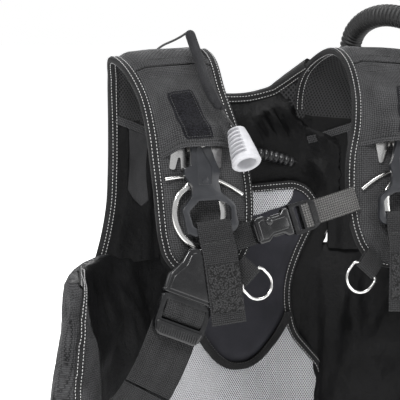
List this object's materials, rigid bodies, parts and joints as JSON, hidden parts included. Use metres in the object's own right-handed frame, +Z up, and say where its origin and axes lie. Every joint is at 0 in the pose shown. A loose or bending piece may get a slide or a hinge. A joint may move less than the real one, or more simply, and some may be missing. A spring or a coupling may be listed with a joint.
{
  "type": "buoyancy compensator vest",
  "caption": "Jacket-style scuba buoyancy vest with padded shoulder straps, swivelling steel rings, release buckles, side air lobes, a backpack plate and a tank band.",
  "frame": {"origin": "the middle of the tank band, on the tank's axis", "axes": "+Z up the vest, +X to the wearer's left, -Y out of the wearer's chest"},
  "size_m": [0.5938, 0.4958, 0.6352],
  "materials": {
    "webbing": "woven",
    "nylon": "satin",
    "cordura": "woven",
    "mesh": "knitted",
    "pad": "matt",
    "plastic": "moulded",
    "gloss_plastic": "gloss",
    "knob_plastic": "moulded",
    "steel": "polished",
    "rubber": "matt",
    "cord": "braided"
  },
  "bodies": {
    "vest": {"backpack_plate": "plastic", "tank_grip_pad": "rubber", "tank_band": "webbing", "cam_buckle_frame": "plastic", "air_cell": "nylon", "mesh_lining": "mesh", "back_pad": "pad", "carry_handle_grip": "rubber", "carry_handle_webbing": "webbing", "base_plates": "steel", "rivets": "steel", "cross_rods": "steel", "ring_tabs": "webbing", "chest_strap_right": "webbing", "chest_strap_left": "webbing", "chest_buckle_female": "gloss_plastic", "waist_buckle_female": "gloss_plastic", "dump_valve": "plastic", "dump_sleeve": "rubber", "dump_cord": "cord", "rear_dump_valve": "plastic", "inflator_hose": "rubber", "inflator_elbow": "plastic", "inflator_body": "plastic", "mouthpiece": "rubber", "right_air_lobe": "nylon", "right_shoulder_strap": "cordura", "right_cover_flap": "cordura", "right_lower_strap": "webbing", "right_weight_sleeve": "cordura", "right_waist_band": "webbing", "left_air_lobe": "nylon", "left_shoulder_strap": "cordura", "left_cover_flap": "cordura", "left_lower_strap": "webbing", "left_weight_sleeve": "cordura", "left_waist_band": "webbing"},
    "cam_lever": {"cam_buckle_lever": "plastic"},
    "right_yoke": {"right_yoke": "plastic", "right_keeper_webbing": "webbing", "right_buckle_female": "gloss_plastic"},
    "right_buckle_male": {"right_buckle_male": "gloss_plastic"},
    "right_swivel_ring": {"right_swivel_ring": "steel"},
    "right_small_ring": {"right_small_ring": "steel"},
    "left_yoke": {"left_yoke": "plastic", "left_keeper_webbing": "webbing", "left_buckle_female": "gloss_plastic"},
    "left_buckle_male": {"left_buckle_male": "gloss_plastic"},
    "left_swivel_ring": {"left_swivel_ring": "steel"},
    "left_small_ring": {"left_small_ring": "steel"},
    "chest_buckle_male": {"chest_buckle_male": "gloss_plastic"},
    "waist_buckle_male": {"waist_buckle_male": "gloss_plastic"},
    "dump_knob": {"dump_knob": "knob_plastic", "dump_cord_tail": "cord"},
    "rear_dump_knob": {"rear_dump_knob": "plastic", "rear_dump_cord": "cord"},
    "inflate_button": {"inflate_button": "plastic"},
    "deflate_button": {"deflate_button": "plastic"},
    "right_weight_pocket": {"right_weight_pocket": "cordura"},
    "left_weight_pocket": {"left_weight_pocket": "cordura"}
  },
  "joints": [
    {"name": "cam_lever_turn", "type": "hinge", "parent": "vest", "child": "cam_lever", "pos_m": [-0.01, 0.1048, 0], "axis": [0, 0, 1], "range_deg": [0, 100]},
    {"name": "right_yoke_swivel", "type": "hinge", "parent": "vest", "child": "right_yoke", "pos_m": [-0.111, -0.32632, 0.25424], "axis": [0, -0.9848, 0.1736], "range_deg": [-7, 3]},
    {"name": "right_ring_swivel", "type": "hinge", "parent": "vest", "child": "right_swivel_ring", "pos_m": [-0.111, -0.32632, 0.25424], "axis": [0, -0.9848, 0.1736], "range_deg": [-6, 6]},
    {"name": "right_buckle_release", "type": "slide", "parent": "right_yoke", "child": "right_buckle_male", "axis": [-0.3859, -0.1602, -0.9085], "range_m": [0, 0.022]},
    {"name": "right_small_ring_flip", "type": "hinge", "parent": "vest", "child": "right_small_ring", "pos_m": [-0.064, -0.35577, 0.11829], "axis": [-0.7314, -0.1184, -0.6716], "range_deg": [0, 60]},
    {"name": "left_yoke_swivel", "type": "hinge", "parent": "vest", "child": "left_yoke", "pos_m": [0.111, -0.32632, 0.25424], "axis": [0, -0.9848, 0.1736], "range_deg": [-3, 7]},
    {"name": "left_ring_swivel", "type": "hinge", "parent": "vest", "child": "left_swivel_ring", "pos_m": [0.111, -0.32632, 0.25424], "axis": [0, -0.9848, 0.1736], "range_deg": [-6, 6]},
    {"name": "left_buckle_release", "type": "slide", "parent": "left_yoke", "child": "left_buckle_male", "axis": [0.3859, -0.1602, -0.9085], "range_m": [0, 0.022]},
    {"name": "left_small_ring_flip", "type": "hinge", "parent": "vest", "child": "left_small_ring", "pos_m": [0.064, -0.35577, 0.11829], "axis": [-0.7314, 0.1184, 0.6716], "range_deg": [0, 60]},
    {"name": "chest_buckle_release", "type": "slide", "parent": "vest", "child": "chest_buckle_male", "axis": [0.9681, 0.0435, 0.2466], "range_m": [0, 0.015]},
    {"name": "waist_buckle_release", "type": "slide", "parent": "vest", "child": "waist_buckle_male", "axis": [1, 0, 0], "range_m": [0, 0.025]},
    {"name": "dump_pull", "type": "slide", "parent": "vest", "child": "dump_knob", "axis": [0.5697, -0.1633, -0.8055], "range_m": [0, 0.01], "stiffness_N_per_m": 250},
    {"name": "rear_dump_pull", "type": "slide", "parent": "vest", "child": "rear_dump_knob", "axis": [0, 0, -1], "range_m": [0, 0.01], "stiffness_N_per_m": 250},
    {"name": "inflate_press", "type": "slide", "parent": "vest", "child": "inflate_button", "axis": [0, 1, 0], "range_m": [0, 0.0025], "stiffness_N_per_m": 400},
    {"name": "deflate_press", "type": "slide", "parent": "vest", "child": "deflate_button", "axis": [0, 0, 1], "range_m": [0, 0.0025], "stiffness_N_per_m": 400},
    {"name": "right_weight_pull", "type": "slide", "parent": "vest", "child": "right_weight_pocket", "axis": [-0.2419, -0.9703, 0], "range_m": [0, 0.09]},
    {"name": "left_weight_pull", "type": "slide", "parent": "vest", "child": "left_weight_pocket", "axis": [0.2419, -0.9703, 0], "range_m": [0, 0.09]}
  ]
}
